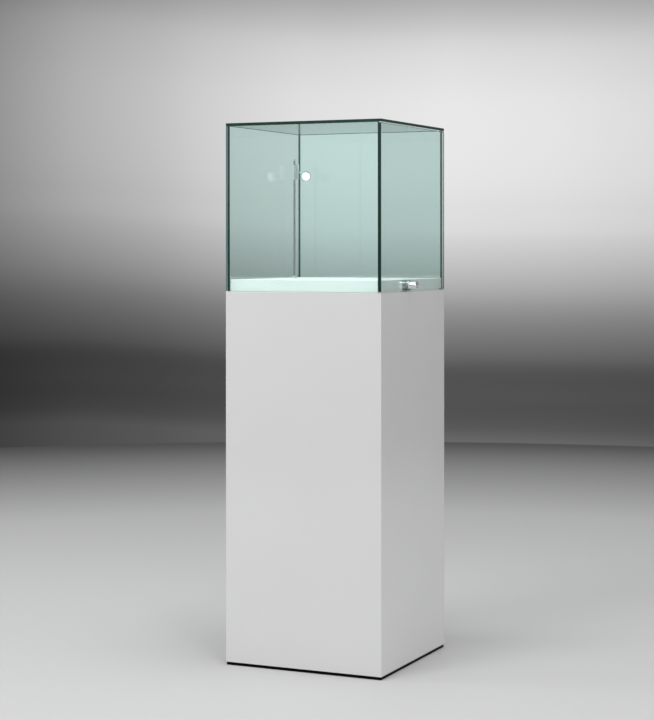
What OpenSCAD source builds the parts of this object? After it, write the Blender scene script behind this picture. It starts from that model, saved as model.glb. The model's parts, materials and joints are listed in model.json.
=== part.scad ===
// Glass display case: a glass cube with a locked side door, standing on a tall lacquered plinth.
// Units are millimetres. +Z is up, the front faces -Y and the door is on the +X side.
// Drawn around the plinth's centre line, then moved so that the origin is the centre of the whole outline.

/* [Overall] */
// Side of the square footprint, the same for glass and plinth
case_w = 500; // [400:10:700]
// Height of the lacquered plinth from the floor
plinth_h = 1105; // [800:5:1300]
// Height of the glass cube above the plinth
hood_h = 500; // [400:10:700]

/* [Plinth] */
// Thickness of the lacquered panels
panel_t = 16; // [14:1:16]
// Gap between the floor and the panels, which shows the black base
panel_lift = 9; // [6:1:16]
// Small bevel on the panels' edges
panel_arris = 0.6; // [0.3:0.1:1]
// Thickness of the top board
top_board_t = 18; // [16:1:22]
// Height of the bottom board's underside
bottom_board_z = 40; // [36:1:60]
// Thickness of the bottom board
bottom_board_t = 16; // [14:1:20]
// How far the black kick strips stand out under the panels
kick_out = 14; // [4:1:14]
// Side of the square corner battens
batten_w = 30; // [24:1:36]

/* [Levelling feet] */
// Distance of each foot's axis from the case's faces
foot_inset = 65; // [62:1:90]
// Radius of a foot's pad
foot_pad_r = 24; // [16:1:26]
// Thickness of a foot's pad
foot_pad_t = 8; // [6:1:12]
// Radius of a foot's threaded stud
foot_stud_r = 4; // [3:0.5:5]

/* [Deck] */
// Height of the raised display floor above the plinth
deck_h = 37; // [34:1:40]
// Width of the deck's rails
rail_w = 36; // [34:1:42]
// Thickness of the deck's inset panel
deck_panel_t = 10; // [8:1:12]
// Gap between the deck and the fixed panes
deck_gap = 1.5; // [1:0.5:3]
// Gap between the deck and the door, which leaves room for the lock's nut
deck_door_gap = 5; // [5:0.5:6]

/* [Glass] */
// Thickness of the glass
glass_t = 8; // [8:1:10]
// Bevel on the glass edges
glass_arris = 0.8; // [0.4:0.1:1.2]
// Legs of the sealing bead inside the bonded front corner
front_bead_w = 2.8; // [1.5:0.1:3.5]
// Legs of the sealing bead inside the bonded back corner
back_bead_w = 4.5; // [1.5:0.5:5]
// Width of the dark strip along the back pane's free end
end_strip_w = 4; // [2:0.5:5]
// Thickness of the bedding tape under the fixed panes
tape_t = 2; // [1:0.5:3]
// Gap above and below the door
door_gap = 3; // [3:0.5:4]
// Gap between the front pane's end and the door
front_door_gap = 1.5; // [1.5:0.5:2]
// Play between the back pane's end and the door's turning edge
back_play = 0.4; // [0.2:0.1:1]

/* [Door pivots] */
// Distance of the pivot axis from the case's outer side face
pivot_in_x = 5; // [4.5:0.5:5]
// Distance of the pivot axis from the case's back face
pivot_in_y = 5; // [5:0.5:7]
// Radius of the pivot pins
pivot_pin_r = 2; // [1.5:0.25:2.25]
// Length of the pivot shoes along the glass edge
shoe_l = 36; // [30:1:44]
// Depth of the notch that holds a shoe
shoe_t = 2.5; // [2:0.5:3]

/* [Lock] */
// Distance of the lock from the middle of the door, towards the front
lock_off = 40; // [0:1:120]
// Height of the lock's axis above the plinth
lock_up = 21; // [20:0.5:21.5]
// Radius of the barrel outside the glass
barrel_r = 11; // [10:0.5:11.5]
// Length of the barrel outside its collar
barrel_l = 23.2; // [18:0.2:30]
// Radius of the turning plug
plug_r = 6; // [5:0.5:6.5]
// Length of the cam from the axis to its tip
cam_l = 19; // [17:1:19]

/* [Lamp] */
// Distance of the pole's axis from the case's left face
pole_in_x = 28; // [24:1:30]
// Distance of the pole's axis from the case's back face
pole_in_y = 84; // [70:1:120]
// Outer radius of the pole
pole_r = 3.25; // [3:0.25:4]
// Gap between the pole's top and the top pane
pole_gap = 82; // [40:1:160]
// Distance of the arm below the pole's top
arm_drop = 42; // [32:1:150]
// Direction of the arm from the pole, turned from +X
arm_turn = 25; // [0:1:60]
// Distance along the arm from the pole to the middle of the head
head_out = 36.2; // [34:0.1:42]
// Radius of the lamp head's bezel
head_r = 16; // [15:0.5:18]
// Downward tilt of the head
head_tilt = 10; // [0:1:30]

/* [Hidden] */
$fn = 64;

eps = 1;                                  // overshoot of a cutting shape
fit = 0.05;                               // radial clearance of a running fit
half = case_w / 2;
inner = half - panel_t;                   // inner faces of the plinth panels
hood_z0 = plinth_h + tape_t;              // lower edge of the fixed panes
hood_z1 = plinth_h + hood_h - glass_t;    // underside of the top pane
pane_in = half - glass_t;                 // inner faces of the panes
door_z0 = plinth_h + door_gap;
door_z1 = hood_z1 - door_gap;
deck_z = plinth_h + deck_h;               // display surface
deck_x0 = -pane_in + deck_gap;
deck_x1 = pane_in - deck_door_gap;
deck_y = pane_in - deck_gap;              // half depth of the deck
above_deck = deck_z + 0.5;
front_bead = min(front_bead_w, 2 * deck_gap - 0.2);  // clears the deck's corner
end_strip_t = 1;
lip_w = 26;                               // width of the rails' lip around the deck panel
bottom_board_top = bottom_board_z + bottom_board_t;
base_z0 = 0.4;                            // lower edge of the black base
base_t = 16;
seam = 0.1;                               // joint between the base's strips
notch_w = 30;                             // notch in the base for the supply cord
notch_h = 18;
pivot_x = half - pivot_in_x;
pivot_y = half - pivot_in_y;
turn_r = norm([glass_t - pivot_in_x, pivot_in_y]);          // the door's inner back edge from the pivot
back_door_gap = turn_r - glass_t + pivot_in_x + back_play;  // from the back pane's end to the door
plate_t = 2;                              // bottom pivot plate
plate_x0 = half - 10;                     // inner and outer edges of both pivot plates
plate_x1 = half - 0.8;
bush_r = 3.5;
bush_l = 12;
top_plate_t = 2.2;
lock_y = -lock_off;
lock_z = plinth_h + lock_up;
washer_t = 0.8;
collar_t = 3;
collar_r = 12;
stem_r = 9;                               // threaded stem through the glass
lock_hole_r = 9.5;
lock_reach = washer_t + collar_t + barrel_l;
nut_x1 = pane_in - washer_t;              // outer face of the lock nut
nut_t = 3;
plug_x0 = deck_x1 - 8;                    // inner end of the plug
stem_l = half + washer_t - plug_x0 - 2;   // threaded stem inwards from the collar
cam_t = 2;
cam_w = 10;
cam_hub_r = 6;
pocket_half = cam_l + 3;                  // half length of the pocket that the cam turns in
strike_t = 1.6;
strike_l = 68;
strike_hole_r = stem_r + 0.8;
pole = [-half + pole_in_x, half - pole_in_y, 0];
pole_bore_r = 2.2;
flange_r = 12;
pole_nut_r = 7.8;                         // corners of the nut, and its washer
pole_z0 = plinth_h - top_board_t - 14;
cap_t = 4;                                // cap on the pole's end
pole_z1 = hood_z1 - pole_gap;             // top of the pole's cap
arm_z = pole_z1 - arm_drop;
slider_z0 = arm_z - 22;
slider_z1 = arm_z + 25;
sleeve_t = 2.25;                          // wall of the slider around the pole
boss_out = 10.5;                          // swivel axis from the pole
boss_r = 4.5;
slot_h = 6.8;
pan_pin_r = 1.5;
clamp_r = 1.5;                            // thread of the slider's screw
eye_t = 6;
arm_r = 2.25;
lug_r = 4.2;
lug_w = 9.5;
head_drop = 9.2;                          // head axis below the tilt axis
lens_r = 13;
body_r = head_r - 0.5;                    // the housing behind the bezel
body_y = 17;                              // its front end, from the tilt axis
board_y = 13;                             // seat of the lamp's board
fin_in = 1.5;                             // depth of the cooling grooves
lead_r = 1.6;
driver = [pole.x + 126, pole.y];          // centre of the driver on the bottom board
driver_size = [150, 40, 28];
ear_l = 12;                               // screw ears at the driver's ends
ear_t = 3;
gland = [driver.x + 140, driver.y];
frame_x = -lock_reach / 2;                // puts the origin under the middle of the outline
screw_xy = inner - batten_w / 2;          // screws sit in the middle of the battens
clip_heights = [for (k = [1 : 4]) plinth_h * (0.22 * k - 0.04)];
rail_screw = inner - 8;                   // deck screws, from the centre line
wood_screw_r = 2;
wood_screw_l = 36;
wood_head_r = 4;
small_screw_r = 1.6;
small_screw_l = 16;
small_head_r = 3;
insert_r = 5.5;
foot_xy = half - foot_inset;
gland_r = 8;
gland_hex_r = 11.5;
gland_bore_r = 3.5;
lead_z = bottom_board_top + 14;
lead_bend = 10;
thrust_t = 1;                             // washer that carries the door
pin_gap = 0.3;                            // play above it
boss_z = plinth_h + thrust_t + pin_gap;   // lower end of the bottom shoe's boss
pin_l = 12;                               // bottom pin below its boss
pivot_plate_l = 45;                       // bottom plate, from the case's back face
arm_end = head_out + 9.5;
corners = [[-1, -1], [1, -1], [-1, 1], [1, 1]];
deck_outer = [[deck_x0, -deck_y], [deck_x1, -deck_y], [deck_x1, deck_y], [deck_x0, deck_y]];
deck_inner = [for (i = [0 : 3]) deck_outer[i] + rail_w * [[1, 1], [-1, 1], [-1, -1], [1, -1]][i]];

// ---- shared shapes ----

module placed() translate([frame_x, 0, 0]) children();

// rectangle with its four corners cut at 45 degrees
module cut_rect(w, d, a)
  polygon([[a, 0], [w - a, 0], [w, a], [w, d - a], [w - a, d], [a, d], [0, d - a], [0, a]]);

// box with a small bevel on all twelve edges
module arris_box(from, size, a) translate(from) intersection() {
  linear_extrude(size.z) cut_rect(size.x, size.y, a);
  rotate([90, 0, 90]) linear_extrude(size.x) cut_rect(size.y, size.z, a);
  translate([0, size.y, 0]) rotate([90, 0, 0]) linear_extrude(size.y) cut_rect(size.x, size.z, a);
}

// round bar along +X
module bar_x(r, l) rotate([0, 90, 0]) cylinder(r = r, h = l);

// prism between two corners of a square ring, mitred at both ends, for the side that faces -Y
module mitre_wedge(half_w, t, z0, h)
  translate([0, 0, z0]) linear_extrude(h)
    polygon([[-half_w, -half_w], [half_w, -half_w], [half_w - t, -half_w + t], [-half_w + t, -half_w + t]]);

// countersunk screw, head at z = 0 and shank downwards
module screw_body(r, l, head_r) {
  translate([0, 0, r - head_r]) cylinder(r1 = r, r2 = head_r, h = head_r - r);
  translate([0, 0, -l]) cylinder(r = r, h = l + r - head_r);
}

module screw(r, l, head_r) difference() {
  screw_body(r, l, head_r);
  translate([0, 0, -head_r * 0.4]) cylinder(r = head_r * 0.35, h = eps + head_r * 0.4, $fn = 6);
}

// the same places serve the screws and the holes that they sit in
module back_panel_screw_places()
  for (x = [-screw_xy, screw_xy], z = [150, plinth_h / 2, plinth_h - 120])
    translate([x, half, z]) rotate([-90, 0, 0]) children();
module top_board_screw_places()
  for (c = corners) translate([c.x * screw_xy, c.y * screw_xy, plinth_h]) children();
module bottom_board_screw_places()
  for (c = corners)
    translate([c.x * screw_xy, c.y * screw_xy, bottom_board_z]) rotate([180, 0, 0]) children();
module foot_places(z) for (c = corners) translate([c.x * foot_xy, c.y * foot_xy, z]) children();
module base_screw_places()
  for (turn = [0 : 90 : 270], x = [-inner / 2, inner / 2])
    rotate(turn) translate([x, -inner + base_t / 2, bottom_board_top]) children();
module pivot_screw_places()
  for (in_y = [22, 38]) translate([pivot_x - 0.5, half - in_y, plinth_h]) children();
module strike_screw_places()
  for (s = [-1, 1])
    translate([deck_x1, lock_y + s * (strike_l / 2 - 6), lock_z - 4]) rotate([0, 90, 0]) children();
module driver_screw_places()
  for (s = [-1, 1])
    translate([driver.x + s * (driver_size.x / 2 + ear_l / 2), driver.y, bottom_board_top + ear_t]) children();
module deck_screw_places()
  for (turn = [0 : 90 : 270], x = [-inner / 2, inner / 2])
    rotate(turn) translate([x, rail_screw, plinth_h - top_board_t]) children();

module wood_holes() screw_body(wood_screw_r, wood_screw_l, wood_head_r);
module small_holes() screw_body(small_screw_r, small_screw_l, small_head_r);
module pole_hole() translate(pole) cylinder(r = pole_r, h = plinth_h + deck_h + eps);

// ---- plinth ----

module panel_color() color([0.93, 0.93, 0.93]) children();

module plinth_front_panel() placed() panel_color() intersection() {
  arris_box([-half, -half, panel_lift], [case_w, panel_t, plinth_h - panel_lift], panel_arris);
  mitre_wedge(half, panel_t, 0, plinth_h + eps);
}

// side panel: mitred to the front panel and full depth at the back
module side_panel() intersection() {
  arris_box([-half, -half, panel_lift], [panel_t, case_w, plinth_h - panel_lift], panel_arris);
  linear_extrude(plinth_h + eps) polygon([[-half, -half], [-inner, -inner], [-inner, half], [-half, half]]);
}

module plinth_left_panel() placed() panel_color() side_panel();

module plinth_right_panel() placed() panel_color() difference() {
  mirror([1, 0, 0]) side_panel();
  pivot_plate_blank(plate_t + eps);
  translate([pivot_x, pivot_y, plinth_h - plate_t - bush_l]) cylinder(r = bush_r, h = bush_l + eps);
  pivot_screw_places() small_holes();
}

module plinth_back_panel() placed() panel_color() difference() {
  arris_box([-inner + 0.4, inner, panel_lift], [2 * inner - 0.8, panel_t, plinth_h - panel_lift], panel_arris);
  back_panel_screw_places() wood_holes();
}

module plinth_top_board() placed() color([0.86, 0.82, 0.74]) difference() {
  translate([-inner, -inner, plinth_h - top_board_t]) cube([2 * inner, 2 * inner, top_board_t]);
  top_board_screw_places() wood_holes();
  deck_screw_places() translate([0, 0, -eps]) cylinder(r = wood_screw_r, h = top_board_t + 2 * eps);
  pole_hole();
}

module plinth_bottom_board() placed() color([0.86, 0.82, 0.74]) difference() {
  translate([-inner, -inner, bottom_board_z]) cube([2 * inner, 2 * inner, bottom_board_t]);
  bottom_board_screw_places() wood_holes();
  base_screw_places() wood_holes();
  driver_screw_places() small_holes();
  foot_places(0) cylinder(r = insert_r, h = plinth_h / 2);
  translate([gland.x, gland.y, 0]) cylinder(r = gland_r, h = plinth_h / 2);
}

module corner_battens() placed() color([0.80, 0.66, 0.45]) difference() {
  for (c = corners)
    translate([c.x * screw_xy - batten_w / 2, c.y * screw_xy - batten_w / 2, bottom_board_top])
      cube([batten_w, batten_w, plinth_h - top_board_t - bottom_board_top]);
  back_panel_screw_places() wood_holes();
  top_board_screw_places() wood_holes();
  bottom_board_screw_places() wood_holes();
}

// four strips, the side ones between the others, with a low kick strip outside each one
// and a notch for the supply cord at the back
module base_frame() placed() color([0.05, 0.05, 0.05]) difference() {
  for (s = [-1, 1], side = [0, 1]) {
    l = 2 * inner - side * 2 * (base_t + seam);
    kick_l = 2 * inner + (1 - side) * 2 * kick_out;
    kick_t = kick_out - seam;
    rotate(90 * side) translate([-l / 2, s * (inner - base_t / 2) - base_t / 2, base_z0])
      cube([l, base_t, bottom_board_z - base_z0]);
    rotate(90 * side) translate([-kick_l / 2, s * (inner + seam + kick_t / 2) - kick_t / 2, base_z0])
      cube([kick_l, kick_t, panel_lift - seam - base_z0]);
  }
  translate([gland.x - notch_w / 2, inner - base_t - eps, base_z0 - eps])
    cube([notch_w, base_t + kick_out + 2 * eps, notch_h - base_z0 + eps]);
  base_screw_places() wood_holes();
}

module wood_screws() placed() color("silver") {
  back_panel_screw_places() screw(wood_screw_r, wood_screw_l, wood_head_r);
  top_board_screw_places() screw(wood_screw_r, wood_screw_l, wood_head_r);
  bottom_board_screw_places() screw(wood_screw_r, wood_screw_l, wood_head_r);
  base_screw_places() screw(wood_screw_r, wood_screw_l, wood_head_r);
}

module small_screws() placed() color("silver") {
  pivot_screw_places() screw(small_screw_r, small_screw_l, small_head_r);
  strike_screw_places() screw(small_screw_r, small_screw_l, small_head_r);
  driver_screw_places() screw(small_screw_r, small_screw_l, small_head_r);
}

// ---- levelling feet ----

module foot_inserts() placed() color([0.72, 0.68, 0.55]) foot_places(bottom_board_z) difference() {
  union() {
    translate([0, 0, -1.5]) cylinder(r = 11, h = 1.5);
    cylinder(r = insert_r, h = 12);
  }
  translate([0, 0, -2]) cylinder(r = foot_stud_r + fit, h = 20);
}

// pad, nut and stud in one
module foot(c) placed() color([0.12, 0.12, 0.12]) translate([c.x * foot_xy, c.y * foot_xy, 0]) {
  cylinder(r1 = foot_pad_r - 1, r2 = foot_pad_r, h = 1);
  translate([0, 0, 1]) cylinder(r = foot_pad_r, h = foot_pad_t - 3);
  translate([0, 0, foot_pad_t - 2]) cylinder(r1 = foot_pad_r, r2 = foot_pad_r - 6, h = 2);
  translate([0, 0, foot_pad_t]) cylinder(r = 7.5, h = 6, $fn = 6);
  cylinder(r = foot_stud_r, h = 78);
}

module foot_front_left() foot(corners[0]);
module foot_front_right() foot(corners[1]);
module foot_back_left() foot(corners[2]);
module foot_back_right() foot(corners[3]);

// ---- deck ----

module deck_color() color([0.96, 0.97, 0.96]) children();

module deck_panel() placed() deck_color() difference() {
  translate([deck_x0 + lip_w, -deck_y + lip_w, deck_z - deck_panel_t])
    cube([deck_x1 - deck_x0 - 2 * lip_w, 2 * (deck_y - lip_w), deck_panel_t]);
  pole_hole();
}

// rebated ring from which the four mitred rails are cut
module deck_ring() difference() {
  arris_box([deck_x0, -deck_y, plinth_h], [deck_x1 - deck_x0, 2 * deck_y, deck_h], panel_arris);
  translate([deck_x0 + rail_w, -deck_y + rail_w, plinth_h - eps])
    cube([deck_x1 - deck_x0 - 2 * rail_w, 2 * (deck_y - rail_w), deck_h + 2 * eps]);
  translate([deck_x0 + lip_w, -deck_y + lip_w, deck_z - deck_panel_t])
    cube([deck_x1 - deck_x0 - 2 * lip_w, 2 * (deck_y - lip_w), deck_panel_t + eps]);
  deck_screw_places() cylinder(r = wood_screw_r, h = wood_screw_l);
}

module deck_rail(outline) deck_color() intersection() {
  deck_ring();
  translate([0, 0, plinth_h - eps]) linear_extrude(deck_h + 2 * eps) polygon(outline);
}

function rail_outline(i, j) = [deck_outer[i], deck_outer[j], deck_inner[j], deck_inner[i]];

module deck_rail_front() placed() deck_rail(rail_outline(0, 1));
module deck_rail_back() placed() deck_rail(rail_outline(2, 3));
module deck_rail_left() placed() difference() {
  deck_rail(rail_outline(3, 0));
  pole_hole();
}
module deck_rail_right() placed() difference() {
  deck_rail(rail_outline(1, 2));
  strike_blank(strike_t + eps);
  translate([deck_x1 - rail_w - eps, lock_y - pocket_half, plinth_h - eps])
    cube([rail_w, 2 * pocket_half, lock_up + cam_hub_r + eps + 1]);
  at_lock(plug_x0) bar_x(strike_hole_r, deck_x1 - plug_x0 + eps);
  strike_screw_places() small_holes();
}

module deck_screws() placed() color("silver") deck_screw_places() {
  cylinder(r = wood_screw_r, h = wood_screw_l);
  translate([0, 0, -3]) cylinder(r1 = 3.2, r2 = wood_head_r, h = 3);
}

// ---- glass hood ----

module glass_color() color([0.62, 0.80, 0.76, 0.35]) children();

module glass_top() placed() glass_color()
  arris_box([-half, -half, hood_z1], [case_w, case_w, glass_t], glass_arris);

module glass_left() placed() glass_color()
  arris_box([-half, -half, hood_z0], [glass_t, case_w, hood_z1 - hood_z0], glass_arris);

module glass_front() placed() glass_color()
  arris_box(
    [-pane_in, -half, hood_z0], [2 * pane_in - front_door_gap, glass_t, hood_z1 - hood_z0], glass_arris);

module glass_back() placed() glass_color()
  arris_box(
    [-pane_in, pane_in, hood_z0], [2 * pane_in - back_door_gap, glass_t, hood_z1 - hood_z0], glass_arris);

// three-sided beads where the left pane meets the front and the back one,
// and a flat strip along the back pane's free end
module corner_beads() placed() color([0.03, 0.09, 0.07]) {
  translate([-pane_in, -pane_in, hood_z0]) linear_extrude(hood_z1 - hood_z0)
    polygon([[0, 0], [front_bead, 0], [0, front_bead]]);
  translate([-pane_in, pane_in, above_deck]) linear_extrude(hood_z1 - above_deck)
    polygon([[0, 0], [0, -back_bead_w], [back_bead_w, 0]]);
  translate([pane_in - back_door_gap - end_strip_w, pane_in - end_strip_t, above_deck])
    cube([end_strip_w, end_strip_t, hood_z1 - above_deck]);
}

// one strip under each fixed pane
module bedding_tape() placed() color([0.92, 0.94, 0.92]) translate([0, 0, plinth_h]) {
  translate([-half + 1, -half + 1, 0]) cube([glass_t - 2, case_w - 2, tape_t]);
  for (y = [-half + 1, pane_in + 1]) translate([-pane_in, y, 0])
    cube([2 * pane_in - back_door_gap - 1, glass_t - 2, tape_t]);
}

// clear strip on the front pane's end, where the door closes
module door_seal() placed() color([0.85, 0.9, 0.88, 0.5])
  translate([pane_in - front_door_gap, -half + 1.5, door_z0 + 1])
    cube([front_door_gap - 0.4, glass_t - 3, door_z1 - door_z0 - 2]);

// ---- door ----

module door_notch(z) translate([pane_in - eps, half - shoe_l, z])
  cube([glass_t + 2 * eps, shoe_l + eps, shoe_t + eps]);

module glass_door() placed() glass_color() difference() {
  arris_box([pane_in, -half, door_z0], [glass_t, case_w, door_z1 - door_z0], glass_arris);
  door_notch(door_z0 - eps);
  door_notch(door_z1 - shoe_t);
  translate([pane_in - eps, lock_y, lock_z]) bar_x(lock_hole_r, glass_t + 2 * eps);
}

// plate that fills the notch in the glass, with the pivot's pin
module pivot_shoe(z) translate([pane_in + 0.3, half - shoe_l, z]) cube([glass_t - 0.6, shoe_l - 0.3, shoe_t]);

module pivot_shoe_bottom() placed() color([0.75, 0.76, 0.77]) {
  pivot_shoe(door_z0);
  translate([pivot_x, pivot_y, boss_z]) cylinder(r = 3.6, h = door_z0 - boss_z);
  translate([pivot_x, pivot_y, boss_z - pin_l]) cylinder(r = pivot_pin_r, h = pin_l + eps);
}

module pivot_shoe_top() placed() color([0.75, 0.76, 0.77]) {
  pivot_shoe(door_z1 - shoe_t);
  translate([pivot_x, pivot_y, door_z1 - eps]) cylinder(r = pivot_pin_r, h = door_gap + eps - 0.4);
}

// bottom pivot plate, and with a larger h the recess it lies in
module pivot_plate_blank(h) translate([plate_x0, half - pivot_plate_l, plinth_h - plate_t])
  cube([plate_x1 - plate_x0, plate_x1 - half + pivot_plate_l, h]);

module pivot_plate_bottom() placed() color([0.75, 0.76, 0.77]) difference() {
  pivot_plate_blank(plate_t);
  translate([pivot_x, pivot_y, 0]) cylinder(r = pivot_pin_r + 0.3, h = plinth_h + eps);
  pivot_screw_places() small_holes();
}

module pivot_bush() placed() color([0.80, 0.66, 0.30])
  translate([pivot_x, pivot_y, plinth_h - plate_t - bush_l]) difference() {
    cylinder(r = bush_r, h = bush_l);
    translate([0, 0, -eps]) cylinder(r = pivot_pin_r + fit, h = bush_l + 2 * eps);
  }

module pivot_washer() placed() color([0.9, 0.9, 0.86]) translate([pivot_x, pivot_y, plinth_h]) difference() {
  cylinder(r = 4.2, h = thrust_t);
  translate([0, 0, -eps]) cylinder(r = pivot_pin_r + 2 * fit, h = thrust_t + 2 * eps);
}

// bonded under the top pane
module pivot_plate_top() placed() color([0.75, 0.76, 0.77]) difference() {
  translate([plate_x0, half - shoe_l, hood_z1 - top_plate_t])
    cube([plate_x1 - plate_x0, plate_x1 - half + shoe_l, top_plate_t]);
  translate([pivot_x, pivot_y, hood_z1 - top_plate_t - eps])
    cylinder(r = pivot_pin_r + fit, h = top_plate_t + 2 * eps);
}

// ---- lock ----

module at_lock(x) translate([x, lock_y, lock_z]) children();

module lock_barrel() placed() color([0.88, 0.88, 0.90]) at_lock(half + washer_t) difference() {
  rotate([0, 90, 0]) rotate_extrude() polygon([
    [0, -stem_l], [stem_r, -stem_l], [stem_r, 0], [collar_r, 0], [collar_r, collar_t - 0.8],
    [collar_r - 0.8, collar_t], [barrel_r, collar_t], [barrel_r, collar_t + barrel_l - 1.5],
    [barrel_r - 1.5, collar_t + barrel_l], [0, collar_t + barrel_l]]);
  translate([-stem_l - eps, 0, 0]) bar_x(plug_r + fit, case_w);
}

module lock_washers() placed() color([0.85, 0.87, 0.86])
  for (x = [half, pane_in - washer_t]) at_lock(x) difference() {
    bar_x(11.5, washer_t);
    translate([-eps, 0, 0]) bar_x(stem_r, washer_t + 2 * eps);
  }

module lock_nut() placed() color([0.75, 0.76, 0.77]) at_lock(nut_x1 - nut_t) difference() {
  rotate([0, 90, 0]) cylinder(r = 12.6, h = nut_t, $fn = 6);
  translate([-eps, 0, 0]) bar_x(stem_r, nut_t + 2 * eps);
}

module lock_plug() placed() color([0.80, 0.80, 0.80]) difference() {
  at_lock(plug_x0) bar_x(plug_r, half + lock_reach - 1 - plug_x0);
  at_lock(half + lock_reach - 11) translate([0, -1, -4]) cube([11, 2, 8]);
  at_lock(plug_x0 - eps) bar_x(wood_screw_r, 12 + eps);
}

module lock_cam() placed() color([0.72, 0.73, 0.74]) at_lock(plug_x0 - cam_t) difference() {
  union() {
    bar_x(cam_hub_r, cam_t);
    translate([0, -cam_w / 2, -cam_l]) cube([cam_t, cam_w, cam_l]);
  }
  translate([-eps, 0, 0]) bar_x(wood_screw_r, cam_t + 2 * eps);
}

module lock_cam_screw() placed() color("silver") at_lock(plug_x0 - cam_t) {
  bar_x(wood_screw_r, cam_t + 12);
  translate([-2.5, 0, 0]) bar_x(3.5, 2.5);
}

// strike plate, and with a larger t the recess it lies in
module strike_blank(t) translate([deck_x1 - strike_t, lock_y - strike_l / 2, plinth_h + 1])
  cube([t, strike_l, deck_h - 3]);

module strike_plate() placed() color([0.75, 0.76, 0.77]) difference() {
  strike_blank(strike_t);
  at_lock(deck_x1 - strike_t - eps) bar_x(strike_hole_r, strike_t + 2 * eps);
  translate([deck_x1 - strike_t - eps, lock_y - cam_w / 2 - 1, plinth_h])
    cube([strike_t + 2 * eps, cam_w + 2, lock_up]);
  strike_screw_places() small_holes();
}

// ---- lamp ----

// frame with its origin on the pole's axis, +X along the arm and -Y the way the lamp faces
module at_pole() translate(pole) rotate(arm_turn) children();
module at_tilt() at_pole() translate([head_out, 0, arm_z]) rotate([head_tilt, 0, 0]) children();

module lamp_pole() placed() color([0.78, 0.79, 0.80]) at_pole() difference() {
  translate([0, 0, pole_z0]) cylinder(r = pole_r, h = pole_z1 - cap_t - pole_z0);
  translate([0, 0, pole_z0 - eps]) cylinder(r = pole_bore_r, h = pole_z1 - pole_z0);
}

module lamp_flange() placed() color([0.78, 0.79, 0.80]) at_pole() translate([0, 0, deck_z]) difference() {
  union() {
    cylinder(r = flange_r, h = 2.5);
    translate([0, 0, 2.5]) cylinder(r1 = flange_r, r2 = flange_r / 2, h = 1.5);
    cylinder(r = pole_r + 1.75, h = 7);
  }
  translate([0, 0, -eps]) cylinder(r = pole_r, h = 10);
}

module pole_nut() placed() color("silver") at_pole()
  translate([0, 0, plinth_h - top_board_t - 6]) difference() {
  union() {
    cylinder(r = pole_nut_r, h = 5, $fn = 6);
    translate([0, 0, 5]) cylinder(r = pole_nut_r, h = 1);
  }
  translate([0, 0, -eps]) cylinder(r = pole_r, h = 10);
}

module pole_cap() placed() color([0.78, 0.79, 0.80]) at_pole() translate([0, 0, pole_z1 - cap_t]) {
  translate([0, 0, -5]) cylinder(r = pole_bore_r, h = 5 + eps);
  cylinder(r = pole_r + 0.5, h = cap_t - 1);
  translate([0, 0, cap_t - 1]) cylinder(r1 = pole_r + 0.5, r2 = pole_r - 0.5, h = 1);
}

module lamp_slider() placed() color([0.82, 0.83, 0.84]) at_pole() translate([0, 0, slider_z0]) difference() {
  union() {
    cylinder(r = pole_r + sleeve_t, h = slider_z1 - slider_z0);
    translate([boss_out, 0, 0]) cylinder(r = boss_r, h = slider_z1 - slider_z0);
    translate([0, -3, 0]) cube([boss_out, 6, slider_z1 - slider_z0]);
  }
  translate([0, 0, -eps]) cylinder(r = pole_r + fit, h = 60);
  translate([boss_out, 0, arm_z - slider_z0 - slot_h / 2]) cylinder(r = boss_r + 0.9, h = slot_h);
  translate([boss_out, 0, -eps]) cylinder(r = pan_pin_r, h = 60);
  translate([0, 0, slider_z1 - slider_z0 - 9]) rotate([-90, 0, 0]) cylinder(r = clamp_r, h = 10);
}

// clamps the slider on the pole
module slider_screw() placed() color([0.6, 0.61, 0.62]) at_pole() translate([0, pole_r + 0.3, slider_z1 - 9])
  rotate([-90, 0, 0]) {
    cylinder(r = clamp_r, h = 4);
    translate([0, 0, 2.6]) cylinder(r = 3.4, h = 5);
  }

module pan_pin() placed() color("silver") at_pole()
  translate([boss_out, 0, slider_z0 + 0.5]) cylinder(r = pan_pin_r, h = slider_z1 - slider_z0 - 1);

module lamp_arm() placed() color([0.82, 0.83, 0.84]) at_pole() translate([0, 0, arm_z]) difference() {
  union() {
    translate([boss_out, 0, -eye_t / 2]) cylinder(r = boss_r, h = eye_t);
    translate([boss_out + 2, 0, 0]) bar_x(arm_r, arm_end - boss_out - 2);
    translate([head_out - lug_w / 2 - 2, 0, 0]) bar_x(3.4, 1.6);
  }
  translate([boss_out, 0, -eye_t]) cylinder(r = pan_pin_r + fit, h = 2 * eye_t);
}

module tilt_nut() placed() color([0.6, 0.61, 0.62]) at_pole() translate([head_out + lug_w / 2 + 0.4, 0, arm_z])
  difference() {
    bar_x(3.6, 3.6);
    translate([-eps, 0, 0]) bar_x(arm_r, 8);
  }

// turned profile along the way the head faces: [radius, distance from the tilt axis]
module turned() rotate([90, 0, 0]) translate([0, -head_drop, 0]) rotate_extrude() children();

module lamp_housing() placed() color([0.80, 0.81, 0.82]) at_tilt() difference() {
  union() {
    turned() difference() {
      polygon([
        [0, 5.5], [body_r - 1.5, 5.5], [body_r, 7], [body_r, body_y], [lens_r, body_y],
        [lens_r, board_y], [0, board_y]]);
      for (y = [8, 10.2, 12.4]) translate([body_r - fin_in, y]) square([2 * fin_in, 1.1]);
    }
    translate([-lug_w / 2, 0, 0]) bar_x(lug_r, lug_w);
    translate([-lug_w / 2, -6, -lug_r]) cube([lug_w, 6, 2 * lug_r]);
  }
  translate([-20, 0, 0]) bar_x(arm_r + fit, 40);
}

module lamp_bezel() placed() color([0.86, 0.87, 0.88]) at_tilt() turned()
  polygon([
    [lens_r, body_y], [body_r, body_y], [head_r, body_y + 0.5], [head_r, body_y + 2.4],
    [head_r - 0.6, body_y + 3], [lens_r + 0.6, body_y + 3], [lens_r, body_y + 2.4]]);

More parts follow.
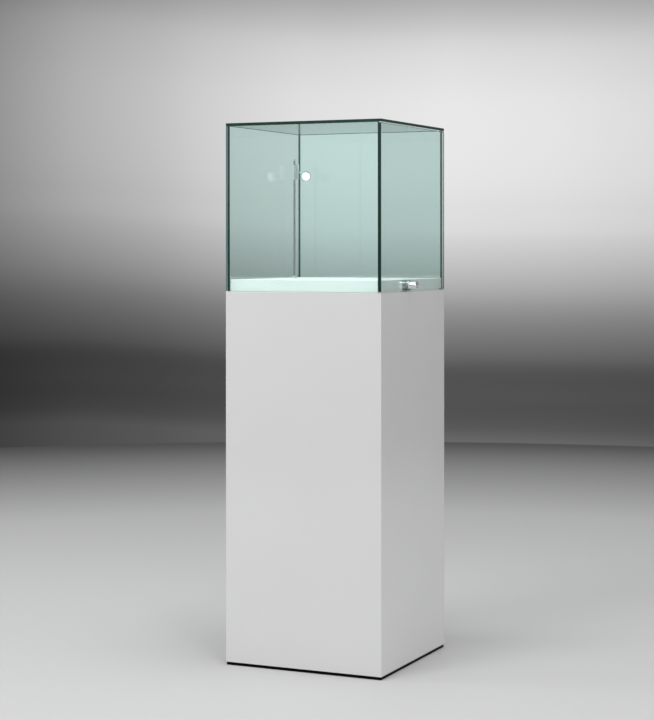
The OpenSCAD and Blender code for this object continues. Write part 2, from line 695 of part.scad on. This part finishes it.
module lamp_lens() placed() color([1, 1, 0.96]) at_tilt() turned()
  polygon([[0, body_y + 0.2], [lens_r, body_y + 0.2], [lens_r, body_y + 1.8], [0, body_y + 2.4]]);

module lamp_board() placed() color([0.95, 0.9, 0.55]) at_tilt() turned()
  polygon([
    [0, board_y], [lens_r - 0.5, board_y], [lens_r - 0.5, board_y + 1.4], [5, board_y + 1.4],
    [5, board_y + 2.2], [0, board_y + 2.2]]);

// ---- wiring ----

module cable_gland() placed() color([0.1, 0.1, 0.1]) translate([gland.x, gland.y, 0]) difference() {
  union() {
    translate([0, 0, bottom_board_z - 14]) cylinder(r1 = 7, r2 = 10, h = 5);
    translate([0, 0, bottom_board_z - 9]) cylinder(r = gland_hex_r, h = 9, $fn = 6);
    translate([0, 0, bottom_board_z]) cylinder(r = gland_r, h = bottom_board_t + 6);
  }
  cylinder(r = gland_bore_r, h = 100);
}

module gland_nut() placed() color([0.12, 0.12, 0.12])
  translate([gland.x, gland.y, bottom_board_top]) difference() {
  cylinder(r = gland_hex_r, h = 4.5, $fn = 6);
  translate([0, 0, -eps]) cylinder(r = gland_r, h = 10);
}

module led_driver() placed() color([0.88, 0.88, 0.86]) difference() {
  union() {
    arris_box([driver.x - driver_size.x / 2, driver.y - driver_size.y / 2, bottom_board_top], driver_size, 1);
    translate([driver.x - driver_size.x / 2 - ear_l, driver.y - 10, bottom_board_top])
      cube([driver_size.x + 2 * ear_l, 20, ear_t]);
  }
  driver_screw_places() small_holes();
}

// from the driver to the foot of the pole, then up inside it
module lamp_lead() placed() color([0.08, 0.08, 0.08]) {
  lead_x0 = driver.x - driver_size.x / 2;
  translate([pole.x + lead_bend, pole.y, lead_z]) bar_x(lead_r, lead_x0 - pole.x - lead_bend);
  translate([pole.x + lead_bend, pole.y, lead_z + lead_bend]) rotate([90, 0, 0]) rotate([0, 0, 180])
    rotate_extrude(angle = 90) translate([lead_bend, 0]) circle(r = lead_r);
  translate([pole.x, pole.y, lead_z + lead_bend]) cylinder(r = lead_r, h = arm_z - lead_z);
}

module lead_clips() placed() color([0.15, 0.15, 0.15]) for (z = clip_heights) difference() {
  translate([-inner, pole.y - 5, z - 4]) cube([inner + pole.x + 4, 10, 8]);
  translate([pole.x, pole.y, z - 5]) cylinder(r = lead_r, h = 10);
}

plinth_front_panel();
plinth_left_panel();
plinth_right_panel();
plinth_back_panel();
plinth_top_board();
plinth_bottom_board();
corner_battens();
base_frame();
wood_screws();
small_screws();
foot_inserts();
foot_front_left();
foot_front_right();
foot_back_left();
foot_back_right();
deck_panel();
deck_rail_front();
deck_rail_back();
deck_rail_left();
deck_rail_right();
deck_screws();
glass_top();
glass_front();
glass_back();
glass_left();
corner_beads();
bedding_tape();
door_seal();
glass_door();
pivot_shoe_bottom();
pivot_shoe_top();
lock_barrel();
lock_washers();
lock_nut();
lock_plug();
lock_cam();
lock_cam_screw();
pivot_plate_bottom();
pivot_bush();
pivot_washer();
pivot_plate_top();
strike_plate();
lamp_pole();
lamp_flange();
pole_nut();
pole_cap();
lamp_slider();
slider_screw();
pan_pin();
lamp_arm();
tilt_nut();
lamp_housing();
lamp_bezel();
lamp_lens();
lamp_board();
cable_gland();
gland_nut();
led_driver();
lamp_lead();
lead_clips();
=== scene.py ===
"""Glass display case on a lacquered plinth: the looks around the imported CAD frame.

Units are metres, in the frame of the CAD model: +Z up, the front faces -Y, the door is on the +X side.
"""

import json
import math

import bmesh
import bpy
from mathutils import Matrix, Vector


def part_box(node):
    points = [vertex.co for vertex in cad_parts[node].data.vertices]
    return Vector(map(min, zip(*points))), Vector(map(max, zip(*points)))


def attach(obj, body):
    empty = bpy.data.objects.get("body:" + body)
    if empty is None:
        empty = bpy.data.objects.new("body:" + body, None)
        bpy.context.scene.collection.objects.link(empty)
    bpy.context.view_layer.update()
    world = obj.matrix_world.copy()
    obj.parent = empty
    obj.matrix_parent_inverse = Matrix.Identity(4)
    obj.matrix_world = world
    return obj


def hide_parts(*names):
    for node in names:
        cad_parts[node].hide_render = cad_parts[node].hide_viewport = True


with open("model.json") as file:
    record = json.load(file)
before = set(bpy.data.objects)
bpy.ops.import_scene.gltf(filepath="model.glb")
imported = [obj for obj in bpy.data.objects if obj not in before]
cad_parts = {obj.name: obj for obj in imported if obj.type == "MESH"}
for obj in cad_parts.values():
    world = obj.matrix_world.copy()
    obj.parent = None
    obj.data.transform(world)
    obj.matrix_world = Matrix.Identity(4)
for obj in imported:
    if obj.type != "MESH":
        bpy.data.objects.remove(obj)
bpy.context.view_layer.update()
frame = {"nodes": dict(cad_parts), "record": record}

MM = 0.001
SCENE = bpy.context.scene
NODES = frame["nodes"]
BODY_OF = {n: b for b, ns in frame["record"]["behaviour"]["bodies"].items() for n in ns}
SLOT_OF = {s["node"]: s["material_slot"] for s in frame["record"]["subparts"]}


# ---------------------------------------------------------------- node helpers


class Shader:
    """A material and short calls that add nodes to it."""

    def __init__(self, name, **principled):
        self.mat = bpy.data.materials.new(name)
        self.mat.use_nodes = True
        self.tree = self.mat.node_tree
        self.nodes, self.links = self.tree.nodes, self.tree.links
        self.bsdf = self.nodes["Principled BSDF"]
        self.out = self.nodes["Material Output"]
        self.coords = None
        for key, value in principled.items():
            self.set(key, value)

    def set(self, key, value):
        """Sets or links an input of the Principled shader."""
        socket = self.bsdf.inputs[key.replace("_", " ")]
        if isinstance(value, bpy.types.NodeSocket):
            self.links.new(value, socket)
        elif isinstance(value, (tuple, list)) and len(value) == 3 and socket.type == "RGBA":
            socket.default_value = (*value, 1)
        else:
            socket.default_value = value

    def node(self, kind, out=0, settings=None, **inputs):
        """Adds a node and gives one of its outputs. An input is named, or numbered as i0, i1, ..."""
        n = self.nodes.new(kind)
        for key, value in (settings or {}).items():
            setattr(n, key, value)
        for key, value in inputs.items():
            index = int(key[1:]) if key[0] == "i" and key[1:].isdigit() else key.replace("_", " ")
            socket = n.inputs[index]
            if isinstance(value, bpy.types.NodeSocket):
                self.links.new(value, socket)
            else:
                socket.default_value = value
        return n.outputs[out]

    def place(self, scale=(1, 1, 1)):
        """Object coordinates in metres, scaled."""
        if self.coords is None:
            self.coords = self.nodes.new("ShaderNodeTexCoord").outputs["Object"]
        return self.node("ShaderNodeMapping", Vector=self.coords, Scale=scale)

    def noise(self, scale, detail=2.0, roughness=0.5, stretch=(1, 1, 1)):
        return self.node("ShaderNodeTexNoise", Vector=self.place(stretch), Scale=scale, Detail=detail,
                         Roughness=roughness)

    def between(self, value, low, high, to_low, to_high):
        """Maps low..high to to_low..to_high."""
        return self.node("ShaderNodeMapRange", Value=value, From_Min=low, From_Max=high,
                         To_Min=to_low, To_Max=to_high)

    def ramp(self, value, *stops, smooth=False):
        """A colour ramp through (position, colour) stops."""
        n = self.nodes.new("ShaderNodeValToRGB")
        n.color_ramp.interpolation = "CARDINAL" if smooth else "LINEAR"
        self.links.new(value, n.inputs["Fac"])
        e = n.color_ramp.elements
        while len(e) < len(stops):
            e.new(0.5)
        for item, (position, colour) in zip(e, stops):
            item.position = position
            item.color = (*colour, 1)
        return n.outputs["Color"]

    def bump(self, height, strength, distance, normal=None):
        extra = {"Normal": normal} if normal is not None else {}
        return self.node("ShaderNodeBump", Height=height, Strength=strength, Distance=distance, **extra)


def grey(v):
    return (v, v, v)


def tinted(colour, spread):
    """The two ends of a slight variation of one colour."""
    return tuple(c * (1 - spread) for c in colour), tuple(min(1, c * (1 + spread)) for c in colour)


# ------------------------------------------------------------------- materials


def lacquer(name, colour, gloss, peel=1.0, specular=0.3):
    """Sprayed lacquer on board: slight colour drift, orange peel and a clear, nearly smooth top coat."""
    s = Shader(name, Specular_IOR_Level=specular, Coat_Weight=gloss, Coat_IOR=1.5, Coat_Roughness=0.03)
    low, high = tinted(colour, 0.012)
    s.set("Base_Color", s.ramp(s.noise(2.2, 3), (0.3, low), (0.7, high)))
    s.set("Roughness", s.between(s.noise(5.0, 4, 0.6), 0.3, 0.7, 0.38, 0.46))
    wave = s.bump(s.noise(160, 1.5), 0.03 * peel, 0.0006)
    s.set("Normal", s.bump(s.noise(900, 1), 0.02 * peel, 0.0002, wave))
    return s.mat


def raw_board(name):
    """Unpainted fibreboard, mottled by its fibres."""
    s = Shader(name, Roughness=0.82, Specular_IOR_Level=0.25)
    fibre = s.noise(260, 6, 0.75)
    s.set("Base_Color", s.ramp(fibre, (0.28, (0.33, 0.235, 0.15)), (0.5, (0.47, 0.35, 0.23)),
                               (0.74, (0.58, 0.45, 0.31))))
    s.set("Normal", s.bump(s.noise(1400, 3, 0.7), 0.25, 0.0002))
    return s.mat


def pine(name):
    """Softwood with rings drawn out along the batten and darker, flecked latewood."""
    s = Shader(name, Specular_IOR_Level=0.3)
    rings = s.node("ShaderNodeTexWave", settings={"wave_type": "RINGS", "rings_direction": "Z"},
                   Vector=s.place((1, 1.6, 0.04)), Scale=42, Distortion=5.5, Detail=3, Detail_Scale=1.6)
    fibres = s.noise(700, 3, 0.6, (1, 1, 0.02))
    mixed = s.node("ShaderNodeMix", settings={"data_type": "FLOAT"}, Factor=0.22, A=rings, B=fibres)
    s.set("Base_Color", s.ramp(mixed, (0.15, (0.60, 0.40, 0.21)), (0.6, (0.72, 0.53, 0.31)),
                               (0.9, (0.42, 0.24, 0.11))))
    s.set("Roughness", s.between(fibres, 0.3, 0.7, 0.55, 0.72))
    s.set("Normal", s.bump(fibres, 0.3, 0.0003))
    return s.mat


def brushed(name, colour, rough, along, scale=1.0):
    """Metal with fine scratches along the Y or Z axis."""
    stretch = {"Y": (1, 0.02, 1), "Z": (1, 1, 0.02)}[along]
    s = Shader(name, Metallic=1.0)
    low, high = tinted(colour, 0.05)
    lines = s.noise(1500 * scale, 3, 0.7, stretch)
    s.set("Base_Color", s.ramp(s.noise(40, 3), (0.3, low), (0.7, high)))
    s.set("Roughness", s.between(lines, 0.3, 0.7, rough * 0.8, rough * 1.25))
    s.set("Normal", s.bump(lines, 0.08, 0.0001))
    return s.mat


def plated(name, colour, rough):
    """Electroplated hardware: cloudy, slightly pitted."""
    s = Shader(name, Metallic=1.0)
    low, high = tinted(colour, 0.10)
    s.set("Base_Color", s.ramp(s.noise(120, 4, 0.6), (0.3, low), (0.7, high)))
    s.set("Roughness", s.between(s.noise(300, 4), 0.3, 0.7, rough * 0.75, rough * 1.3))
    s.set("Normal", s.bump(s.noise(2200, 2), 0.06, 0.0001))
    return s.mat


def chrome(name):
    """Polished chrome with faint wiping marks."""
    s = Shader(name, Metallic=1.0, Base_Color=(0.86, 0.87, 0.89))
    s.set("Roughness", s.between(s.noise(260, 5, 0.7), 0.35, 0.8, 0.045, 0.11))
    scratch = s.noise(900, 2, 0.8, (1, 0.12, 1))
    s.set("Normal", s.bump(scratch, 0.02, 0.0001))
    return s.mat


def moulded(name, colour, rough=0.5, grain=1.0, spread=0.08):
    """Moulded plastic or rubber with a spark-eroded grain."""
    s = Shader(name, Specular_IOR_Level=0.45)
    low, high = tinted(colour, spread)
    s.set("Base_Color", s.ramp(s.noise(25, 4), (0.3, low), (0.7, high)))
    s.set("Roughness", s.between(s.noise(700, 3), 0.3, 0.7, rough * 0.85, rough * 1.15))
    cells = s.node("ShaderNodeTexVoronoi", Vector=s.place(), Scale=2600)
    s.set("Normal", s.bump(cells, 0.25 * grain, 0.0001))
    return s.mat


GLASS_TINT = (0.82, 0.95, 0.925)  # what one pane passes


def glass_face(name, tint=GLASS_TINT):
    """Float glass. Lamps shine through it with its tint; everything else is refracted and reflected."""
    s = Shader(name, Base_Color=tint, Roughness=0.0, IOR=1.5, Transmission_Weight=1.0)
    clear = s.nodes.new("ShaderNodeBsdfTransparent")
    clear.inputs["Color"].default_value = (*(c ** 0.5 for c in tint), 1)
    mix = s.nodes.new("ShaderNodeMixShader")
    path = s.nodes.new("ShaderNodeLightPath")
    s.links.new(path.outputs["Is Shadow Ray"], mix.inputs["Fac"])
    s.links.new(s.bsdf.outputs["BSDF"], mix.inputs[1])
    s.links.new(clear.outputs["BSDF"], mix.inputs[2])
    s.links.new(mix.outputs["Shader"], s.out.inputs["Surface"])
    return s.mat


def glass_edge(name, deep, pale, rough=0.12):
    """Edge of a pane: the green of half a metre of glass, with lighter streaks along it, painted
    reflections of the light running inside the glass.
    """
    s = Shader(name, Specular_IOR_Level=0.22)
    painted_glints = s.noise(60, 3, 0.6, (1, 1, 0.05))
    # the lighter streaks are painted reflections
    s.set("Base_Color", s.ramp(painted_glints, (0.30, deep), (0.78, pale)))
    s.set("Roughness", s.between(s.noise(500, 3), 0.3, 0.7, rough * 0.7, rough * 1.3))
    s.set("Normal", s.bump(s.noise(1800, 2), 0.05, 0.0001))
    return s.mat


def lens(name):
    """Diffusing lens of the lamp, lit from behind."""
    s = Shader(name, Base_Color=(0.30, 0.30, 0.29), Roughness=0.5, Emission_Color=(1.0, 0.985, 0.95))
    s.set("Emission_Strength", 1.05)
    s.set("Normal", s.bump(s.noise(1200, 2), 0.2, 0.0002))
    return s.mat


def clear_seal(name):
    """Extruded clear strip, slightly wavy across its length."""
    s = Shader(name, Base_Color=(0.95, 0.985, 0.975), Roughness=0.08, IOR=1.43, Transmission_Weight=1.0)
    s.set("Normal", s.bump(s.noise(300, 2, 0.5, (1, 1, 0.1)), 0.1, 0.0003))
    return s.mat


MATS = {
    "white_lacquer": lacquer("white_lacquer", grey(0.71), 1.0),
    "white_deck": lacquer("white_deck", (0.87, 0.80, 0.795), 0.3, 0.6),  # pink offsets the glass's green
    # a black base, but near black and without gloss, darker than black lacquer, so that it also stands
    # in for the shade in the recess under the plinth: partly painted shade
    "black_lacquer": lacquer("black_lacquer", grey(0.003), 0.0, 0.6, 0.03),
    "raw_board": raw_board("raw_board"),
    "batten_wood": pine("batten_wood"),
    "zinc_steel": plated("zinc_steel", (0.62, 0.63, 0.62), 0.30),
    "foot_black": moulded("foot_black", grey(0.018), 0.55, 1.4),
    "float_glass": glass_face("float_glass"),
    "white_tape": moulded("white_tape", (0.72, 0.76, 0.74), 0.8, 1.6),
    "clear_seal": clear_seal("clear_seal"),
    "corner_sealant": glass_edge("corner_sealant", (0.003, 0.022, 0.017), (0.008, 0.040, 0.031), 0.5),
    "stainless": brushed("stainless", (0.60, 0.60, 0.59), 0.26, "Y"),
    "brass": brushed("brass", (0.72, 0.50, 0.20), 0.28, "Z"),
    "nylon": moulded("nylon", (0.74, 0.74, 0.70), 0.45, 0.6),
    "chrome": chrome("chrome"),
    "satin_aluminium": brushed("satin_aluminium", (0.55, 0.56, 0.57), 0.34, "Z", 0.8),
    "knob_metal": plated("knob_metal", (0.48, 0.49, 0.50), 0.32),
    "lit_lens": lens("lit_lens"),
    "led_board": moulded("led_board", (0.75, 0.72, 0.52), 0.3, 0.4),
    "black_plastic": moulded("black_plastic", grey(0.02), 0.48),
    "driver_plastic": moulded("driver_plastic", (0.62, 0.62, 0.60), 0.55),
}

# Materials of single faces and pieces, beside the ones of the record's slots
# painted shade: a darker copy of the deck lacquer for the outer face of the deck's right rail, standing
# in for the shade that falls on it
DECK_PAINTED_SHADE = lacquer("white_deck_painted_shade", (0.67, 0.60, 0.60), 0.3, 0.6)
POLE = brushed("pole_aluminium", (0.29, 0.30, 0.31), 0.24, "Z", 0.8)
SIDE_GLASS = glass_face("float_glass_side", (0.88, 0.975, 0.958))
EDGE_DARK = glass_edge("glass_edge_dark", (0.002, 0.022, 0.014), (0.010, 0.050, 0.036))
# painted reflection: a paler green for an edge that shows the bright surroundings through it
EDGE_PAINTED_REFLECTION = glass_edge("glass_edge_painted_reflection", (0.07, 0.15, 0.135), (0.15, 0.25, 0.23))
ARRIS = glass_edge("glass_arris", (0.012, 0.050, 0.038), (0.03, 0.09, 0.07), 0.3)
# painted glow: a pale edge for the lamp's light that the pane carries down
GLOW = glass_edge("glass_edge_glow", (0.55, 0.66, 0.62), (0.72, 0.80, 0.77), 0.4)


# ---------------------------------------------------------------- mesh helpers


def shape(node):
    """A clean copy of a CAD node's mesh, in the frame: welded, with its flat faces in one piece."""
    bm = bmesh.new()
    bm.from_mesh(NODES[node].data)
    bmesh.ops.remove_doubles(bm, verts=bm.verts, dist=2e-6)
    bmesh.ops.dissolve_limit(bm, angle_limit=math.radians(0.6), verts=bm.verts, edges=bm.edges)
    bm.normal_update()
    return bm


def soften(bm, width, segments=2, sharp=38):
    """Rounds every edge sharper than so many degrees."""
    limit = math.radians(sharp)
    edges = [e for e in bm.edges if len(e.link_faces) == 2 and e.calc_face_angle(0) > limit]
    if width > 0 and edges:
        bmesh.ops.bevel(bm, geom=edges, offset=width, offset_type="OFFSET", segments=segments,
                        profile=0.5, affect="EDGES", clamp_overlap=True)
    bm.normal_update()


def piece(node, bm, mats, split=36):
    """Makes an object from bm that stands for a CAD node, with its body and slot."""
    name = node + "_fine"
    mesh = bpy.data.meshes.new(name)
    for f in bm.faces:
        f.smooth = True
    for e in bm.edges:
        e.smooth = len(e.link_faces) != 2 or e.calc_face_angle(0) < math.radians(split)
    bm.to_mesh(mesh)
    bm.free()
    for m in mats:
        mesh.materials.append(m)
    o = bpy.data.objects.new(name, mesh)
    SCENE.collection.objects.link(o)
    weighted = o.modifiers.new("normals", "WEIGHTED_NORMAL")
    weighted.keep_sharp = True
    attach(o, BODY_OF[node])
    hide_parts(node)


def refine(node, width, segments=2, mats=None, pick=None, sharp=38):
    """A CAD node with rounded edges. pick(face) gives the index of a face's material."""
    bm = shape(node)
    soften(bm, width, segments, sharp)
    if pick:
        for f in bm.faces:
            f.material_index = pick(f)
    piece(node, bm, mats or [MATS[SLOT_OF[node]]])


# ----------------------------------------------------------------------- glass

CLEAR, DARK, PAINTED_REFLECTION, CHAMFER, LIT = range(5)  # a pane's material indices


def pane(node, axis, pale_end=None, clear_end=None, clear_arris=None, face=MATS["float_glass"]):
    """A pane: the two faces across the axis are clear, and its edges are the green of glass seen end on.

    The lower edge is painted pale, a painted glow for the light that the pane carries down from the
    lamp.
    pale_end is the axis whose low end is painted paler, a painted reflection of the bright surroundings
    seen through that edge; clear_end and clear_arris are the outward directions of an edge and an
    arris that are clear because they lie against other glass.
    """
    bm = shape(node)
    lo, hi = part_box(node)
    for f in bm.faces:
        n, c = f.normal, f.calc_center_median()
        if abs(n[axis]) > 0.99:
            f.material_index = CLEAR
        elif n.z < -0.5 and axis != 2:
            f.material_index = LIT
        elif max(abs(v) for v in n) < 0.9:
            f.material_index = CLEAR if clear_arris and n.dot(Vector(clear_arris)) > 0.9 else CHAMFER
        elif clear_end and n.dot(Vector(clear_end)) > 0.99:
            f.material_index = CLEAR
        elif (pale_end is not None and abs(n[pale_end]) > 0.99
              and c[pale_end] < (lo[pale_end] + hi[pale_end]) / 2):
            f.material_index = PAINTED_REFLECTION
        else:
            f.material_index = DARK
    piece(node, bm, [face, EDGE_DARK, EDGE_PAINTED_REFLECTION, ARRIS, GLOW], 20)


pane("glass_top", 2)
pane("glass_front", 1, clear_end=(1, 0, 0), clear_arris=(0.7, 0.7, 0))
pane("glass_back", 1)
# the left pane's front end is painted paler: painted reflection
pane("glass_left", 0, pale_end=1, face=SIDE_GLASS)
pane("glass_door", 0, clear_arris=(-0.7, -0.7, 0))

# ------------------------------------------------------------- refined pieces


def by_height(limit):
    """Picks the first material below a height and the second above it."""
    return lambda f: int(f.calc_center_median().z > limit)


KNURL_LINES = 64  # lines around a knob's rim


def knurl(node, axis, radius, depth):
    """Cuts grooves along a round knob, by drawing in every other line of its rim."""
    bm = shape(node)
    lo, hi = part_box(node)
    middle = (lo + hi) / 2
    u = axis.orthogonal().normalized()
    v = axis.cross(u)
    rim = []
    for vert in bm.verts:
        a, b = (vert.co - middle).dot(u), (vert.co - middle).dot(v)
        if abs(math.hypot(a, b) - radius) < 0.05 * MM:
            rim.append((math.atan2(b, a), vert))
    step = 2 * math.pi / KNURL_LINES
    for angle, vert in rim:
        if round((angle - rim[0][0]) / step) % 2:
            across = vert.co - middle
            across -= axis * across.dot(axis)
            vert.co -= across.normalized() * depth
    bm.normal_update()
    piece(node, bm, [MATS[SLOT_OF[node]]], 25)


FOOT_PAD_TOP = 8.1 * MM
for corner in ("front_left", "front_right", "back_left", "back_right"):
    refine("foot_" + corner, 0.35 * MM, mats=[MATS["foot_black"], MATS["zinc_steel"]],
           pick=by_height(FOOT_PAD_TOP), sharp=40)

for panel in ("front", "left", "right", "back"):
    refine(f"plinth_{panel}_panel", 0.25 * MM, sharp=30)
for rail in ("front", "back", "left"):
    refine(f"deck_rail_{rail}", 0.25 * MM, sharp=30)
# the right rail's outer face takes the darker copy of the deck lacquer: painted shade
refine("deck_rail_right", 0.25 * MM, mats=[MATS["white_deck"], DECK_PAINTED_SHADE],
       pick=lambda f: int(f.normal.x > 0.9), sharp=30)
refine("deck_panel", 0.2 * MM)
refine("lamp_pole", 0, mats=[POLE])
refine("corner_battens", 0.6 * MM)
refine("base_frame", 0.4 * MM)
refine("led_driver", 0.5 * MM, segments=3)
HARDWARE = (  # mm of rounding, degrees of the sharpest edge left as it is, nodes
    (0.18, 38, ("strike_plate", "pivot_plate_bottom", "pivot_plate_top", "lock_cam", "lock_nut",
                "lock_washers")),
    (0.20, 34, ("lamp_flange", "pole_cap", "lamp_slider", "lamp_arm", "lamp_housing", "lamp_bezel",
                "pole_nut")),
    (0.35, 38, ("cable_gland", "gland_nut", "lead_clips")),
)
for rounding, sharp, parts in HARDWARE:
    for part in parts:
        refine(part, rounding * MM, sharp=sharp)

ARM_TURN = math.radians(25)  # how far the lamp's arm is turned at rest
HEAD_TILT = math.radians(10)  # how far its head looks down at rest
ALONG_ARM = Vector((math.cos(ARM_TURN), math.sin(ARM_TURN), 0))
ACROSS_ARM = Vector((-math.sin(ARM_TURN), math.cos(ARM_TURN), 0))
knurl("slider_screw", ACROSS_ARM, 3.4 * MM, 0.16 * MM)
knurl("tilt_nut", ALONG_ARM, 3.6 * MM, 0.16 * MM)

# ------------------------------------- materials of the CAD nodes themselves

for node, o in NODES.items():
    mat = MATS[SLOT_OF[node]]
    if o.data.materials:
        for i in range(len(o.material_slots)):
            o.material_slots[i].link = "OBJECT"
            o.material_slots[i].material = mat
    else:
        o.data.materials.append(mat)
NODES["lamp_lens"].visible_glossy = False  # its ghosts in the panes would be far too bright

# ---------------------------------------------------------------- lamp light

lens_lo, lens_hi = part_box("lamp_lens")
lens_centre = (lens_lo + lens_hi) / 2
beam_dir = Matrix.Rotation(ARM_TURN, 3, "Z") @ Matrix.Rotation(HEAD_TILT, 3, "X") @ Vector((0, -1, 0))
spot = bpy.data.lights.new("lamp_beam", "SPOT")
spot.energy = 9
spot.color = (1.0, 0.97, 0.92)
spot.spot_size = math.radians(110)
spot.spot_blend = 0.8
spot.shadow_soft_size = 8 * MM
beam = bpy.data.objects.new("lamp_beam", spot)
SCENE.collection.objects.link(beam)
beam.location = lens_centre + beam_dir * 16 * MM  # clear of the lens, which it would light up
beam.rotation_euler = beam_dir.to_track_quat("-Z", "Y").to_euler()
beam.visible_glossy = False
beam.visible_transmission = False  # only its light is wanted, never its disc
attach(beam, "head")

# ------------------------------------------------------------------- the stage

# the wall's brightness along it and up it is painted light and shade
WALL_RADIUS, WALL_TOP, WALL_SIDES, WALL_RINGS = 6.3, 7.5, 96, 25
WALL_RIGHT = (0.9092, 0.4163, 0.0)  # to the right along the wall, as the camera sees it
WALL_FADE = (  # metres to the right, brightness, after the photo's tones; reflected only past 3 m
    (-6.3, 1.0), (-4.0, 1.0), (-2.9, 0.35), (-2.1, 0.37), (-1.62, 0.54), (-1.11, 0.67), (-0.85, 0.76),
    (-0.5, 0.85), (-0.2, 0.92), (0.74, 1.0), (1.38, 0.96), (2.0, 0.88), (3.2, 0.7), (4.2, 0.35),
    (5.1, 0.35), (5.6, 1.0), (6.3, 1.0))
WALL_RISE = (  # height as a part of WALL_RISE_TOP, brightness, after the photo's tones
    (0.0, 0.14), (0.03, 0.10), (0.09, 0.085), (0.174, 0.125), (0.30, 0.35), (0.43, 0.66),
    (0.515, 0.755), (0.62, 0.807), (0.75, 0.783), (0.855, 0.655), (0.94, 0.43), (1.0, 0.38))
WALL_RISE_TOP = 3.0
# the floor's own pale colour, darkened away from the middle as painted shade of the light falling off
FLOOR_FADE = (  # distance from the middle as a part of WALL_RADIUS, paleness, after the photo's tones
    (0.0, 0.55), (0.1, 0.56), (0.2, 0.57), (0.5, 0.57), (0.65, 0.46), (1.0, 0.19))


def greys(stops):
    """Stops of a ramp from pairs of position and brightness."""
    return ((position, grey(v)) for position, v in stops)


def staged(name, bm, mat):
    """An object of the stage, made from bm."""
    mesh = bpy.data.meshes.new(name)
    bm.to_mesh(mesh)
    bm.free()
    o = bpy.data.objects.new(name, mesh)
    SCENE.collection.objects.link(o)
    o.data.materials.append(mat)


def backdrop():
    """A round studio wall with painted light: pale above, falling off in painted shade towards the
    floor.
    """
    bm = bmesh.new()
    rings = []
    for k in range(WALL_RINGS):
        z = WALL_TOP * (k / (WALL_RINGS - 1)) ** 1.6
        ring = []
        for i in range(WALL_SIDES):
            angle = 2 * math.pi * i / WALL_SIDES
            ring.append(bm.verts.new((WALL_RADIUS * math.cos(angle), WALL_RADIUS * math.sin(angle), z)))
        rings.append(ring)
    for a, b in zip(rings, rings[1:]):
        for i in range(WALL_SIDES):
            following = (i + 1) % WALL_SIDES
            bm.faces.new((a[i], b[i], b[following], a[following])).smooth = True

    s = Shader("studio_wall_painted_light")
    xyz = s.nodes.new("ShaderNodeSeparateXYZ")
    s.links.new(s.place(), xyz.inputs[0])
    sideways = s.node("ShaderNodeVectorMath", out="Value", settings={"operation": "DOT_PRODUCT"},
                      i0=s.place(), i1=WALL_RIGHT)
    # the band of painted shade lies higher towards the left
    lowered = s.node("ShaderNodeMath", settings={"operation": "ADD"}, i0=xyz.outputs["Z"],
                     i1=s.between(sideways, -1.6, 0.0, -0.14, 0.0))
    rise = s.ramp(s.between(lowered, 0.0, WALL_RISE_TOP, 0.0, 1.0), *greys(WALL_RISE), smooth=True)
    across = s.between(sideways, -WALL_RADIUS, WALL_RADIUS, 0.0, 1.0)
    fade = s.ramp(across, *greys((0.5 + u / (2 * WALL_RADIUS), v) for u, v in WALL_FADE))
    both = s.node("ShaderNodeMix", out=2, settings={"data_type": "RGBA", "blend_type": "MULTIPLY"},
                  i0=1.0, i6=rise, i7=fade)
    s.links.new(s.node("ShaderNodeEmission", Color=both, Strength=1.0), s.out.inputs["Surface"])
    staged("studio_wall", bm, s.mat)


def ground():
    """A pale floor with painted shade, darker towards the wall where the light falls off."""
    bm = bmesh.new()
    bmesh.ops.create_circle(bm, cap_ends=True, radius=WALL_RADIUS + 0.05, segments=WALL_SIDES)
    s = Shader("studio_floor_paint_and_shade", Roughness=0.7, Specular_IOR_Level=0.2)
    distance = s.node("ShaderNodeVectorMath", out="Value", settings={"operation": "LENGTH"},
                      i0=s.place())
    s.set("Base_Color", s.ramp(s.between(distance, 0.0, WALL_RADIUS, 0.0, 1.0), *greys(FLOOR_FADE)))
    staged("studio_floor", bm, s.mat)


def softbox(name, place, aim, size, watts):
    """A round white area light."""
    data = bpy.data.lights.new(name, "AREA")
    data.shape, data.size, data.energy = "DISK", size, watts
    o = bpy.data.objects.new(name, data)
    SCENE.collection.objects.link(o)
    o.location = place
    o.rotation_euler = (Vector(aim) - Vector(place)).to_track_quat("-Z", "Y").to_euler()


backdrop()
ground()
softbox("key", (-1.9, -5.0, 3.7), (0, 0, 1.0), 3.4, 134)
softbox("side", (-4.4, -1.6, 3.0), (0, 0, 0.8), 1.4, 40)
softbox("fill", (4.4, -0.6, 0.9), (0.2, 0, 0.7), 2.2, 32)
softbox("overhead", (0.7, -0.6, 5.6), (0.7, -0.5, 0), 3.4, 128)
softbox("top_right", (1.55, -2.0, 4.6), (0, 0, 1.1), 0.5, 18)

world = bpy.data.worlds.new("studio")
world.use_nodes = True
world.node_tree.nodes["Background"].inputs["Color"].default_value = (0.52, 0.525, 0.53, 1)
SCENE.world = world
SCENE.view_settings.view_transform = "Standard"
SCENE.view_settings.look = "None"

# ------------------------------------------------------------------ the camera

# A level camera with a shifted view, because the upright edges stay parallel
PLINTH_X = -0.0135  # the plinth's own centre line in the frame
CAMERA_AT = Vector((2.33833 + PLINTH_X, -5.1818, 1.23425))
YAW, ROLL = -0.429408, -0.0005  # radians
FOCAL_PX, LONG_SIDE_PX, RISE_PX = 1875.66, 720, -111.71

forward = Vector((math.sin(YAW), math.cos(YAW), 0))
right0 = Vector((math.cos(YAW), -math.sin(YAW), 0))
up0 = right0.cross(forward)
right = right0 * math.cos(ROLL) + up0 * math.sin(ROLL)
up = up0 * math.cos(ROLL) - right0 * math.sin(ROLL)
camera = bpy.data.cameras.new("camera")
camera.sensor_width = 36
camera.lens = FOCAL_PX / LONG_SIDE_PX * camera.sensor_width
camera.shift_y = RISE_PX / LONG_SIDE_PX
view = bpy.data.objects.new("camera", camera)
SCENE.collection.objects.link(view)
view.matrix_world = Matrix((
    (right.x, up.x, -forward.x, CAMERA_AT.x),
    (right.y, up.y, -forward.y, CAMERA_AT.y),
    (right.z, up.z, -forward.z, CAMERA_AT.z),
    (0, 0, 0, 1),
))
SCENE.camera = view
